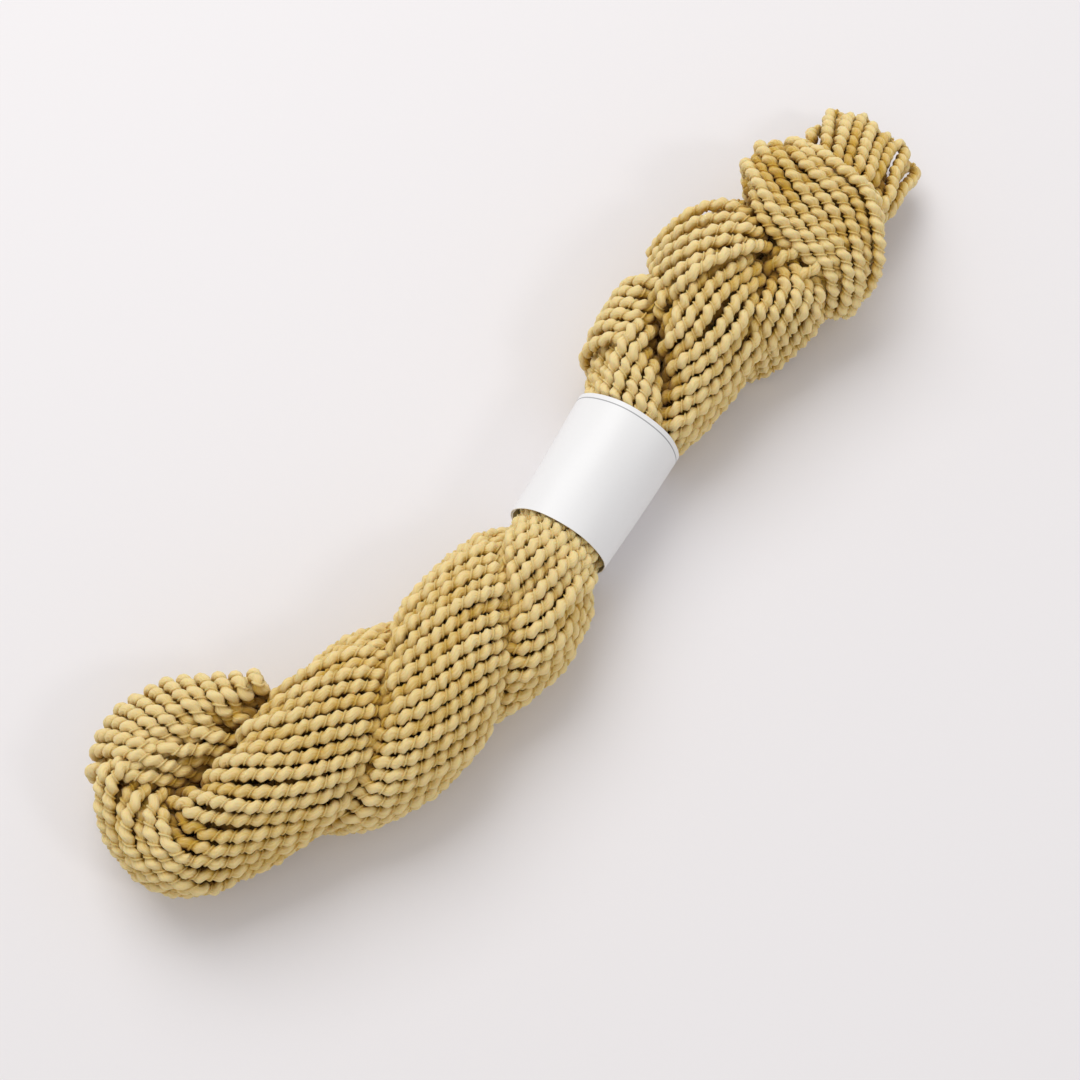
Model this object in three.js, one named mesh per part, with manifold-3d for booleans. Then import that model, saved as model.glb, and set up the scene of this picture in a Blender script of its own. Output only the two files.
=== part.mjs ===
// A hank of thick two-ply cotton yarn with a plain paper band round its waist.
// The skein of yarn is twisted, folded in half and left to wind round itself, so its two legs
// lie round each other like the plies of a short rope. At one end is the fold. At the other end
// the eye of leg Q lies over the neck of leg P like a collar, and P's loops stick out as a tail.
// Millimetres, +Z up. The hank lies along X on Z = 0, with its fold at -X and its tail at +X.
import * as THREE from "three";
import { mergeVertices } from "three/addons/utils/BufferGeometryUtils.js";
import Module from "manifold-3d";

const wasm = await Module();
wasm.setup();

// Points closer than this are one point.
const WELD = 1e-4;

// The two legs, in sections along the hank's centre line. Each leg's middle lies beside the line
// by "side" across and "lift" upwards, at the angle "turn": 0 is the -Y side, 90 the top.
// "out" is half the leg's thickness away from the line, and "wide" half its width along its turn.
const SECTIONS = [
  // x, y, z, turn, side, lift, out, wide
  [-118, -2.5, 16.5, -6, 13, 5, 14, 15],
  [-108, -6, 17.5, 6, 13, 6.5, 13.5, 15.5],
  [-99, -11, 18, 38, 12, 8.5, 12.5, 16],
  [-89, -15.5, 18, 80, 11.5, 8.7, 12, 16.5],
  [-78, -18.5, 18, 128, 11.5, 8.7, 12, 16.5],
  [-62, -19.5, 18, 196, 11.5, 8.7, 12, 16.5],
  [-40, -17.5, 18, 288, 10.5, 8.7, 11.5, 16],
  [-21, -15.5, 18, 368, 9.5, 8.5, 11, 15.5],
  [-9, -11.8, 17.5, 430, 5, 8, 9, 14.5],
  [4, -6.5, 16.5, 464, 2, 7.5, 8.2, 14.2],
  [17.7, -1.1, 16.2, 480, 1.5, 7.3, 8, 14.2],
  [31.5, 4.2, 16.5, 494, 2.5, 7.5, 8.2, 14.5],
  [44, 9.5, 18, 516, 8.5, 8.2, 10, 15],
  [60, 15.5, 19, 568, 11, 9, 11.5, 15.5],
  [80, 18.8, 19.5, 654, 12, 9.5, 12.5, 16],
  [97, 20.5, 19, 715, 12, 8, 12.5, 16],
  [110, 22, 18, 750, 8, 5, 11, 15],
  [122, 26, 16.5, 775, 3, 1, 8.5, 11],
  [134, 30, 14, 785, 0, 0, 6.5, 9],
].map(([x, y, z, turn, side, lift, out, wide]) => ({ x, y, z, turn, side, lift, out, wide }));

// The fold is a half turn about a small hole. "pinch" is how much flatter it is at its far side.
// The legs' solids overlap there: P's ends at "pEnd" degrees, and Q's, slimmer by "lap", at "qStart".
const FOLD = { reach: 10, steps: 12, pinch: 0.24, innerGap: 1.2, pEnd: 115, qStart: 65, lap: 0.5 };
const LEG_STEP = 5;
const LEG_SIDES = 20;
// The centre line's direction is taken between points this far to either side.
const HEADING_REACH = 0.5;
// Leg Q thins out and sinks under its own eye over this length, 36 mm short of P's end.
const EYE = { short: 36, fade: 24, thin: 0.35, narrow: 0.4, sink: 4, shift: 1.5 };
// The collar is the eye drawn tight round P's neck: an oval drum with a rounded rim.
const COLLAR = {
  x: 109, y: 19.5, z: 18.5, heading: -21.7,
  across: 21.5, height: 15, rim: 5, halfLength: 12, topExtra: 4.5,
  sides: 32, rimSteps: 8,
};
// The tail's loops: the middle of each loop's tip, and half its depth.
const LOOPS = [
  [134, 43, 8, 4],
  [138.5, 44, 11, 4],
  [144.5, 45.5, 10, 4.5],
  [147.5, 41, 11, 5],
  [149.5, 36.5, 10.5, 5],
  [151, 31.5, 9.5, 5],
  [152.3, 26.5, 8.5, 4.5],
  [152.5, 21.5, 7, 4],
].map(([x, y, z, deep]) => ({ x, y, z, deep }));
// Each loop leaves the neck "rootSpread" as far aside as its tip lies, from a root inside the neck.
// It keeps its width up to "roundFrom" of its length, then rounds down to "tipShare" at its tip.
const LOOP = {
  halfWidth: 2.7, sides: 8, steps: 6,
  back: 16, rootSpread: 0.5, insideSpread: 0.25, rootZ: 12,
  roundFrom: 0.8, tipShare: 0.3,
};
// The paper band is an oval sleeve, slightly wider at its tail end by "flare". The yarn stays
// "gap" clear of it, and what would lie outside it at the waist, up to "squeeze", is drawn in.
const BAND = {
  x: 17.7, y: -1.1, z: 16.4, heading: 21.4,
  length: 37.5, halfWidth: 15, halfHeight: 15.4, thick: 0.6, flare: 0.45,
  gap: 0.4, squeeze: 12, sides: 48,
};
// The table's top is at Z = 0: whatever the loops and legs would push below it is pressed flat.
const FLOOR_CUT = { below: 8, reach: 400 };
// The box's middle in the numbers above, moved to the origin at the end.
const MIDDLE = { x: 6.6, y: 1.5 };

const UP = new THREE.Vector3(0, 0, 1);
const radians = THREE.MathUtils.degToRad;
const smooth = (t) => THREE.MathUtils.smoothstep(t, 0, 1);

// Distance along the centre line at which each section stands.
const stations = SECTIONS.reduce((all, row, i) => {
  const before = SECTIONS[i - 1];
  all.push(i ? all[i - 1] + Math.hypot(row.x - before.x, row.y - before.y) : 0);
  return all;
}, []);
const lineEnd = stations.at(-1);

// Slope of one column at a section, weighted by the lengths on its two sides.
function slope(column, i) {
  const rise = (k) =>
    (SECTIONS[k + 1][column] - SECTIONS[k][column]) / (stations[k + 1] - stations[k]);
  if (i === 0) return rise(0);
  if (i === SECTIONS.length - 1) return rise(i - 1);
  const before = stations[i] - stations[i - 1];
  const after = stations[i + 1] - stations[i];
  return (rise(i - 1) * after + rise(i) * before) / (before + after);
}

// One column's value at a distance along the line, on a smooth cubic through the sections.
function at(column, s) {
  let i = stations.findIndex((d) => d > s) - 1;
  if (i < 0) i = s <= 0 ? 0 : SECTIONS.length - 2;
  const h = stations[i + 1] - stations[i];
  const t = (s - stations[i]) / h;
  const [a, b] = [SECTIONS[i][column], SECTIONS[i + 1][column]];
  return (
    a * (2 * t ** 3 - 3 * t ** 2 + 1) + b * (3 * t ** 2 - 2 * t ** 3) +
    h * (slope(column, i) * (t ** 3 - 2 * t ** 2 + t) + slope(column, i + 1) * (t ** 3 - t ** 2))
  );
}

// The centre line's place, direction and right-hand side, looking along +X.
function line(s) {
  const [before, after] = [s - HEADING_REACH, s + HEADING_REACH];
  const along = new THREE.Vector3(
    at("x", after) - at("x", before), at("y", after) - at("y", before), 0,
  ).normalize();
  const right = new THREE.Vector3(along.y, -along.x, 0);
  return { place: new THREE.Vector3(at("x", s), at("y", s), at("z", s)), along, right };
}

// One cross-section of a leg: its middle, the direction away from the partner, and its half sizes.
function legSection(s, extraTurn) {
  const { place, right } = line(s);
  const turn = radians(at("turn", s) + extraTurn);
  const middle = place
    .addScaledVector(right, Math.cos(turn) * at("side", s))
    .addScaledVector(UP, Math.sin(turn) * at("lift", s));
  const away = right.clone().multiplyScalar(Math.cos(turn)).addScaledVector(UP, Math.sin(turn));
  const out = at("out", s);
  return { middle, away, out, inner: out, wide: at("wide", s) };
}

// The fold's sections between two angles, from leg P's side at 0 to leg Q's side at 180 degrees.
// "lap" makes them slimmer, so that one leg's start lies inside the other's end.
function foldSections(from, to, lap) {
  const { place, along, right } = line(0);
  const first = SECTIONS[0];
  const rise = Math.sin(radians(first.turn)) * first.lift;
  return Array.from({ length: FOLD.steps + 1 }, (_, i) => {
    const angle = radians(from + ((to - from) * i) / FOLD.steps);
    const sideways = right.clone().multiplyScalar(Math.cos(angle));
    const back = along.clone().multiplyScalar(-Math.sin(angle));
    const middle = place.clone()
      .addScaledVector(sideways, first.side)
      .addScaledVector(back, FOLD.reach)
      .addScaledVector(UP, rise * Math.cos(angle));
    const out = first.out * (1 - FOLD.pinch * Math.sin(angle)) - lap;
    const toHole = Math.hypot(Math.cos(angle) * first.side, Math.sin(angle) * FOLD.reach);
    const inner = Math.min(out, toHole - FOLD.innerGap);
    return { middle, away: sideways.add(back), out, inner, wide: first.wide - lap };
  });
}

// A closed shape as a solid for the booleans.
function solidOf(shape) {
  shape.deleteAttribute("normal");
  shape.deleteAttribute("uv");
  const merged = mergeVertices(shape, WELD);
  return new wasm.Manifold(
    new wasm.Mesh({
      numProp: 3,
      vertProperties: merged.attributes.position.array,
      triVerts: new Uint32Array(merged.index.array),
    }),
  );
}

function solidFrom(points, triangles) {
  const shape = new THREE.BufferGeometry();
  const places = points.flatMap((p) => p.toArray());
  shape.setAttribute("position", new THREE.Float32BufferAttribute(places, 3));
  shape.setIndex(triangles);
  return solidOf(shape);
}

// Rings of equal count joined into one closed skin, with a point at the middle of each end.
function skin(rings) {
  const count = rings[0].length;
  const points = rings.flat();
  const triangles = [];
  for (let r = 0; r + 1 < rings.length; r++) {
    for (let k = 0; k < count; k++) {
      const [a, b] = [r * count + k, r * count + ((k + 1) % count)];
      triangles.push(a, b, b + count, a, b + count, a + count);
    }
  }
  const middleOf = (ring) =>
    ring.reduce((sum, p) => sum.add(p), new THREE.Vector3()).divideScalar(count);
  const last = (rings.length - 1) * count;
  points.push(middleOf(rings[0]), middleOf(rings.at(-1)));
  for (let k = 0; k < count; k++) {
    const next = (k + 1) % count;
    triangles.push(points.length - 2, next, k, points.length - 1, last + k, last + next);
  }
  return solidFrom(points, triangles);
}

// A tube through cross-sections, each square to the path and oval about its "away" direction.
function sweep(sections, sides) {
  const rings = sections.map((section, i) => {
    const before = sections[Math.max(i - 1, 0)].middle;
    const after = sections[Math.min(i + 1, sections.length - 1)].middle;
    const along = after.clone().sub(before).normalize();
    const away = section.away.clone().addScaledVector(along, -section.away.dot(along)).normalize();
    const across = along.clone().cross(away);
    return Array.from({ length: sides }, (_, k) => {
      const angle = (2 * Math.PI * k) / sides;
      const radial = Math.cos(angle) * (Math.cos(angle) > 0 ? section.out : section.inner);
      return section.middle.clone()
        .addScaledVector(away, radial)
        .addScaledVector(across, Math.sin(angle) * section.wide);
    });
  });
  return skin(rings);
}

function legP() {
  const count = Math.round(lineEnd / LEG_STEP);
  const leg = Array.from({ length: count }, (_, i) => legSection((lineEnd * (count - i)) / count, 0));
  return sweep([...leg, ...foldSections(0, FOLD.pEnd, 0)], LEG_SIDES);
}

function legQ() {
  const end = lineEnd - EYE.short;
  const count = Math.round(end / LEG_STEP);
  const leg = Array.from({ length: count }, (_, i) => {
    const s = (end * (i + 1)) / count;
    const fade = smooth((s - end + EYE.fade) / EYE.fade);
    const section = legSection(s, 180);
    section.out *= 1 - EYE.thin * fade;
    section.inner = section.out;
    section.wide *= 1 - EYE.narrow * fade;
    section.middle.y -= EYE.shift * fade;
    section.middle.z -= EYE.sink * fade;
    return section;
  });
  return sweep([...foldSections(FOLD.qStart, 180, FOLD.lap), ...leg], LEG_SIDES);
}

// The eye drawn round P's neck, as a drum whose rim bulges by half the strands' depth.
function collar() {
  const along = new THREE.Vector3(1, 0, 0).applyAxisAngle(UP, radians(COLLAR.heading));
  const across = new THREE.Vector3(along.y, -along.x, 0);
  const centre = new THREE.Vector3(COLLAR.x, COLLAR.y, COLLAR.z);
  const rings = Array.from({ length: COLLAR.rimSteps + 1 }, (_, i) => {
    const bulge = Math.PI * (i / COLLAR.rimSteps - 0.5);
    return Array.from({ length: COLLAR.sides }, (_, k) => {
      const angle = (2 * Math.PI * k) / COLLAR.sides;
      const half = COLLAR.halfLength + COLLAR.topExtra * Math.abs(Math.sin(angle));
      return centre.clone()
        .addScaledVector(across, -Math.cos(angle) * (COLLAR.across + COLLAR.rim * Math.cos(bulge)))
        .addScaledVector(UP, Math.sin(angle) * (COLLAR.height + COLLAR.rim * Math.cos(bulge)))
        .addScaledVector(along, half * Math.sin(bulge));
    });
  });
  return skin(rings);
}

// One loop of the tail, as the closed outline of its two strands, rooted in P's neck.
function tailLoop(loop) {
  const neck = line(lineEnd);
  const tip = new THREE.Vector3(loop.x, loop.y, loop.z);
  const offset = tip.clone().sub(neck.place).dot(neck.right);
  const root = neck.place.clone()
    .addScaledVector(neck.along, -LOOP.back)
    .addScaledVector(neck.right, offset * LOOP.insideSpread)
    .setZ(LOOP.rootZ);
  const leave = neck.place.clone().addScaledVector(neck.right, offset * LOOP.rootSpread).setZ(tip.z);
  const path = new THREE.QuadraticBezierCurve3(root, leave, tip);
  const sections = Array.from({ length: LOOP.steps + 1 }, (_, i) => {
    const t = i / LOOP.steps;
    const past = Math.max(t - LOOP.roundFrom, 0) / (1 - LOOP.roundFrom);
    const round = Math.max(Math.sqrt(1 - past ** 2), LOOP.tipShare);
    const deep = loop.deep * round;
    const wide = LOOP.halfWidth * round;
    return { middle: path.getPoint(t), away: UP, out: deep, inner: deep, wide };
  });
  return sweep(sections, LOOP.sides);
}

// An oval ring about the band's axis: half sizes at its tail end, drawn in by "flare" at the other.
function sleeve(inside, outside, length) {
  const along = new THREE.Vector3(1, 0, 0).applyAxisAngle(UP, radians(BAND.heading));
  const across = new THREE.Vector3(along.y, -along.x, 0);
  const centre = new THREE.Vector3(BAND.x, BAND.y, BAND.z);
  const corner = (end, grow, angle) => {
    const slack = grow + (end > 0 ? BAND.flare : 0);
    return centre.clone()
      .addScaledVector(along, (end * length) / 2)
      .addScaledVector(across, Math.cos(angle) * (BAND.halfWidth + slack))
      .addScaledVector(UP, Math.sin(angle) * (BAND.halfHeight + grow));
  };
  const points = [];
  const triangles = [];
  for (let k = 0; k < BAND.sides; k++) {
    const angle = (2 * Math.PI * k) / BAND.sides;
    points.push(corner(-1, outside, angle), corner(1, outside, angle));
    points.push(corner(1, inside, angle), corner(-1, inside, angle));
    for (let side = 0; side < 4; side++) {
      const next = (side + 1) % 4;
      const [a, b] = [k * 4 + side, k * 4 + next];
      const [c, d] = [((k + 1) % BAND.sides) * 4 + next, ((k + 1) % BAND.sides) * 4 + side];
      triangles.push(a, c, d, a, b, c);
    }
  }
  return solidFrom(points, triangles);
}

function floorBlock() {
  const shape = new THREE.BoxGeometry(FLOOR_CUT.reach, FLOOR_CUT.reach, FLOOR_CUT.below);
  shape.translate(0, 0, -FLOOR_CUT.below / 2);
  return solidOf(shape);
}

function meshOf(solid, name, material) {
  const { vertProperties, triVerts } = solid.getMesh();
  const shape = new THREE.BufferGeometry();
  shape.setAttribute("position", new THREE.BufferAttribute(new Float32Array(vertProperties), 3));
  shape.setIndex(new THREE.BufferAttribute(new Uint32Array(triVerts), 1));
  shape.computeVertexNormals();
  const mesh = new THREE.Mesh(shape, material);
  mesh.name = name;
  mesh.position.set(-MIDDLE.x, -MIDDLE.y, 0);
  return mesh;
}

function hank() {
  let solid = legP().add(legQ()).add(collar());
  for (const loop of LOOPS) solid = solid.add(tailLoop(loop));
  // The band draws the yarn in at the waist, and the table flattens what it carries.
  solid = solid.subtract(sleeve(-BAND.gap, BAND.squeeze, BAND.length + 2 * BAND.gap));
  // The largest body is the outer skin: the pockets sealed between the legs are yarn too.
  const bodies = solid.subtract(floorBlock()).decompose();
  return bodies.reduce((best, body) => (body.volume() > best.volume() ? body : best));
}

const yarn = new THREE.MeshStandardMaterial({ color: 0xd9bd7f, roughness: 0.85, metalness: 0 });
const paper = new THREE.MeshStandardMaterial({ color: 0xf1f0ee, roughness: 0.6, metalness: 0 });

const group = new THREE.Group();
group.add(meshOf(hank(), "hank", yarn));
group.add(meshOf(sleeve(0, BAND.thick, BAND.length), "band", paper));

export default group;
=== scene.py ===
import math

import bpy
import numpy as np
from bpy.props import FloatProperty, FloatVectorProperty, IntProperty, PointerProperty
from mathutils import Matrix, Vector


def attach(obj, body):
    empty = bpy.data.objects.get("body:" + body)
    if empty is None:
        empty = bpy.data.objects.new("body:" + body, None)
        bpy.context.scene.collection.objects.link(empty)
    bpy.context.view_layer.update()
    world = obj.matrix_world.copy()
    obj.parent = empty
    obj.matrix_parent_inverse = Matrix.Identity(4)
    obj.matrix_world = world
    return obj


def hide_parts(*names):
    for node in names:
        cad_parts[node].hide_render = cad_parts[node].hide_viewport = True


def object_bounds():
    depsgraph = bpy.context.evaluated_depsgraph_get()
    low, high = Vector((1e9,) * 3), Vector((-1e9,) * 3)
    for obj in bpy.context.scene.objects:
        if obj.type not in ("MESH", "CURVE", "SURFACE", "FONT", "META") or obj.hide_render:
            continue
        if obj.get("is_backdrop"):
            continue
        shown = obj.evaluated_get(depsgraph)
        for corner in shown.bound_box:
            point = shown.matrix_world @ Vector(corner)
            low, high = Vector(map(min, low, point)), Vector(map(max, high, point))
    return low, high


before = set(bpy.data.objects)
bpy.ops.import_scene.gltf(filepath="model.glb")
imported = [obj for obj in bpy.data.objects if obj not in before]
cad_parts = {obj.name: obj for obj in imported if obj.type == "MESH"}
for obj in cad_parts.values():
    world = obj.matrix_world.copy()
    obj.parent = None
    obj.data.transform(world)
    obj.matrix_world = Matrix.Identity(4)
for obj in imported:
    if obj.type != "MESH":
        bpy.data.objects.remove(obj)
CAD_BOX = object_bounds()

bl_info = {
    "name": "Cotton Yarn Hank",
    "version": (1, 0, 0),
    "blender": (4, 5, 0),
    "location": "3D View > Sidebar > Hank",
    "description": "Strands, paper band and stage of a twisted hank of two-ply cotton",
    "category": "Add Mesh",
}

MM = 0.001
# Sides of a strand's thick and thin ply, where it shows and below.
OUTER_SIDES = (8, 4)
INNER_SIDES = (4, 2)
# Length in mm over which a ply's fibres go once round the strand.
FIBRE_PITCH = 16.0
UP = np.array([0.0, 0.0, 1.0])
# The tables below are in millimetres, apart from pixels, and the hank's origin lies here in them.
ORIGIN = np.array([6.6, 1.5, 0.0])
# The photograph's camera looks at the tables' own origin, in the middle of its 1080 pixels, from
# this distance in metres.
PHOTO_MIDDLE = 540.0
AZIMUTH = math.radians(-38)
ELEVATION = math.radians(70)
DISTANCE = 0.55
VIEW_ANGLE = math.radians(30)

# The two legs along the hank's centre line. Leg P's middle lies beside the line by "side" across
# and "lift" upwards at the angle "turn", where 0 is the -Y side and 90 the top, and leg Q's lies
# opposite. "out" is half a leg's thickness away from the line, and "wide" half its width.
SECTIONS = np.array([
    # x, y, z, turn, side, lift, out, wide
    (-118, -2.5, 16.5, -6, 13, 5, 14, 15),
    (-108, -6, 17.5, 6, 13, 6.5, 13.5, 15.5),
    (-99, -11, 18, 38, 12, 8.5, 12.5, 16),
    (-89, -15.5, 18, 80, 11.5, 8.7, 12, 16.5),
    (-78, -18.5, 18, 128, 11.5, 8.7, 12, 16.5),
    (-62, -19.5, 18, 196, 11.5, 8.7, 12, 16.5),
    (-40, -17.5, 18, 288, 10.5, 8.7, 11.5, 16),
    (-21, -14.9, 18, 368, 9.5, 8.5, 11, 14.8),
    (-9, -10.8, 17.5, 430, 5, 8, 9, 12.8),
    (4, -6.3, 16.5, 464, 2, 7.5, 8.2, 13),
    (17.7, -1.1, 16.2, 480, 1.5, 7.3, 8, 14.2),
    (31.5, 4.2, 16.5, 494, 2.5, 7.5, 8.2, 14.5),
    (44, 9.5, 18, 516, 8.5, 8.2, 10, 15),
    (60, 16.8, 19, 568, 11, 9, 11.5, 15.5),
    (80, 21, 19.5, 654, 12, 9.5, 12.5, 17),
    (97, 22.5, 19, 715, 12, 8, 12.5, 17),
    (110, 22, 18, 750, 8, 5, 11, 15),
    (122, 26, 16.5, 775, 3, 1, 8.5, 11),
    (134, 30, 14, 785, 0, 0, 6.5, 9),
], dtype=float)
TURN, SIDE, LIFT, OUT, WIDE = 3, 4, 5, 6, 7

# The strands that lie over the fold, read off the photograph: the pixels along each, from its
# rim over its crown into the hole or under leg P. The drawn ones are spaced evenly, and the
# first four start lower on the rim.
FOLD_STRANDS = (
    ((90, 770), (159, 776), (177, 777)),
    ((92, 756), (128, 756), (164, 767), (182, 770)),
    ((95, 745), (126, 743), (159, 752), (191, 761)),
    ((103, 729), (137, 738), (170, 752)),
    ((112, 712), (144, 732), (186, 754)),
    ((124, 703), (159, 725), (195, 752)),
    ((144, 689), (177, 712), (213, 738)),
    ((166, 678), (195, 698), (213, 721), (224, 734)),
    ((182, 680), (208, 707), (226, 727)),
    ((208, 678), (222, 700), (235, 721)),
    ((226, 677), (237, 696), (246, 707)),
    ((249, 674), (258, 689), (264, 694)),
)
# The heights of each one's rim, crown and dive.
FOLD_HEIGHTS = ((16, 29, 23),) * 4 + ((20, 29, 23),) * 8
FOLD_COUNT = 13
# The strands that lie across leg P's shoulder, between the band and leg Q.
SHOULDER_STRANDS = (
    ((622, 291), (647, 284), (668, 291)),
    ((612, 300), (640, 294), (663, 300)),
    ((604, 312), (640, 306), (660, 313)),
    ((597, 323), (637, 317), (657, 325)),
    ((590, 335), (630, 326), (655, 335)),
    ((583, 357), (603, 336), (625, 337), (655, 345)),
)
SHOULDER_HEIGHTS = ((18, 29, 24),) * 6
# How far under the leg these strands start, and how much lower the filling under the fold's lies.
FOLD_UNDER, SHOULDER_UNDER, FILLING_DEPTH = 12, 9, 2.6
# The strands of leg P that come out below the collar's edge and run down round its side.
NECK_STRANDS = (
    # five places along each strand, pixel x, y and height
    (771, 244, 24, 777, 266, 28, 773, 288, 31, 763, 312, 31, 752, 334, 27),
    (776, 243, 25, 784, 266, 29, 784, 290, 31.5, 771, 314, 30, 754, 342, 24),
    (782, 247, 26, 795, 272, 29.5, 795, 296, 31, 780, 322, 28, 755, 354, 20),
    (788, 255, 26, 806, 281, 29, 805, 303, 29, 787, 332, 24, 757, 362, 15),
    (796, 262, 26, 815, 288, 27, 812, 312, 24, 793, 340, 18, 760, 368, 9),
    (806, 272, 24, 821, 298, 22, 816, 320, 18, 796, 345, 12, 764, 372, 5),
)
# The strands of leg Q that fan out of the same hole and run over its crown to the far side.
CROWN_STRANDS = (
    # five places along each strand, pixel x, y and height
    (744, 212, 30, 722, 205, 28, 702, 208, 26, 682, 219, 24, 664, 236, 20),
    (750, 220, 33, 725, 218, 33, 703, 221, 31.5, 684, 230, 28, 664, 248, 23),
    (757, 235, 34, 735, 232, 36.5, 712, 235, 36, 690, 243, 33, 668, 257, 27),
    (742, 243, 34, 718, 244, 37.5, 698, 250, 37.5, 682, 259, 35, 665, 273, 30),
    (722, 253, 36, 704, 258, 38.5, 690, 266, 38, 676, 277, 36, 665, 289, 32),
    (762, 246, 33, 742, 248, 38, 722, 255, 39.5, 702, 266, 39.5, 684, 282, 38),
)
# The steps from their first and last places to ends that are out of sight.
NECK_ENDS = ((5, 3, -7), (-6, 3.5, -3))
CROWN_ENDS = ((4, -3, -8), (-4, 0.5, -8))
# The middle of the crown strands: leg Q's own strands make room for them round it.
CROWN_MIDDLE = np.array([80.0, 29.0, 27.0])
# The tail's loops: the tip's middle, the place where the loop leaves the collar, how far that
# place was then moved along x and z, half the gap between the loop's two runs, and how far the
# runs lie side by side rather than one above the other. The lower loops don't show.
TAIL_LOOPS = (
    # tip pixel x, y, height, base pixel x, y, height, move x, z, half gap, lean
    (813, 147, 13, 812, 162, 20, 0, -1, 1.9, 70),
    (818, 136, 9, 815, 155, 17, -0.7, -1, 2.0, 80),
    (839, 114, 12, 831, 163, 24, 0, 0, 1.9, 75),
    (852, 121, 15, 840, 170, 25, 0, 0, 1.9, 25),
    (863, 120, 13, 847, 175, 25.5, 0, -0.5, 1.9, 55),
    (876, 130, 15, 857, 181, 26, 0, 0, 1.9, 35),
    (885, 139, 12, 866, 187, 26, 0, -1, 1.9, 60),
    (898, 151, 12, 873, 192, 25.5, 0, -1.5, 2.0, 75),
    (912, 165, 10, 881, 206, 22, 0, -2, 2.0, 70),
)
LOWER_LOOPS = (
    # tip x, y, z, base x, y, z, half gap, lean
    (141.0, 43.0, 6, 127.0, 34.0, 15, 1.9, 60),
    (145.0, 37.0, 7, 128.0, 27.0, 17, 1.9, 60),
    (147.5, 31.0, 6, 129.0, 20.0, 16, 1.9, 60),
)
# The place inside the collar that the tail's loops lead to.
TAIL_ROOT = np.array([108.0, 21.0, 19.0])
# The collar round the neck, seen along the hank from its fold: the angle from the -Y side over
# the top, the ring's middle there, then its shift along, and half its width and half its depth.
COLLAR_RING = np.array([
    # angle, across, up, shift, half width, half depth
    (-150, -18, -6, 0, 8.5, 7.0),
    (-120, -11, -10, 0, 10, 5.8),
    (-90, -2, -11.5, 0, 11.5, 5.2),
    (-60, 8, -10, -1, 10, 6),
    (-30, 13.5, -5.5, 1, 8, 7),
    (0, 15, 0.5, 3.5, 7, 7.6),
    (30, 12.8, 7, 4.9, 9.2, 6.3),
    (60, 7, 11.6, 3.9, 13, 5.0),
    (90, -1.5, 13.6, 2.2, 15.4, 4.6),
    (120, -10.5, 12, -1.0, 12.2, 5.8),
    (150, -18, 7.5, -2.0, 9.4, 7.2),
    (180, -21, 0, -0.6, 8.0, 7.8),
], dtype=float)
# The collar's middle and heading, its number of strands, and how square their section is.
COLLAR = {"middle": (109.0, 19.5, 18.5), "heading": -21.7, "count": 20, "square": 2.6}
# The band's oval: its middle, heading, half sizes, how much wider it is at its tail end, and its
# seam's angle and distance from the middle.
BAND = {
    "middle": (17.2, -1.3, 16.4), "heading": 21.4, "half_width": 13.9, "half_height": 15.4,
    "flare": 1.4, "seam": math.radians(158), "seam_radius": 15.2,
}
# The strands below the outer layer: the share of a leg's half sizes at which they lie, the length
# in metres between their rings, how much darker they are painted, as painted shade under the
# outer layer, and how many are in the core.
INNER = {"share": 0.66, "step": 0.0010, "tone": 0.3}
CORE = {"count": 5, "share": 0.26, "step": 0.0011, "tone": 0.4}
# How far each layer gives way as the strands settle, and how thick it counts as: what is below is
# squeezed.
SOFTNESS = {
    "outer": (1.0, 1.0), "inner": (1.0, 0.7), "core": (1.0, 0.4), "collar": (0.4, 1.0),
    "fold_wraps": (0.3, 1.0), "fold_filling": (1.0, 0.8), "shoulder_wraps": (0.3, 1.0),
    "neck_wraps": (0.3, 1.0), "crown_wraps": (0.2, 1.0), "tail": (0.5, 1.0),
}
# The length between a path's points, a settled strand's share of the yarn's thickness, and the
# share that it loses where the two legs press on each other.
PATH_STEP, GIRTH, PRESSED_LOSS = 2.0, 0.97, 0.55
# The rounds of settling, the share of an overlap that a round takes away, how much a point's
# neighbours slow it down, and the gap left under the lowest strands.
ROUNDS, PUSH, CROWDING, FLOOR_GAP = 24, 0.45, 0.35, 0.25
# How far inside the band the strands' middles stay, and how far past its edges it draws them in.
BAND_MARGIN, BAND_DRAW = 2.3, 9
# The neighbours within this reach say how enclosed a point is, from all round to half open, and
# so how much painted shade it gets.
NEIGHBOUR_REACH = 10.0
ENCLOSED, OPEN = 0.18, 0.52
# Each light's name, place in metres, size and power in watts.
LIGHTS = (
    ("window", (0.2, 0.9, 1.3), 1.2, 14.5),
    ("lamp", (0.5, -1.2, 1.3), 0.3, 3.0),
)
SKY = {"colour": (1.0, 0.99, 1.0, 1.0), "strength": 0.56}
# The strands once they are settled, by layer.
STRANDS = {}


# Sizes and colours that a user may change.

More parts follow.
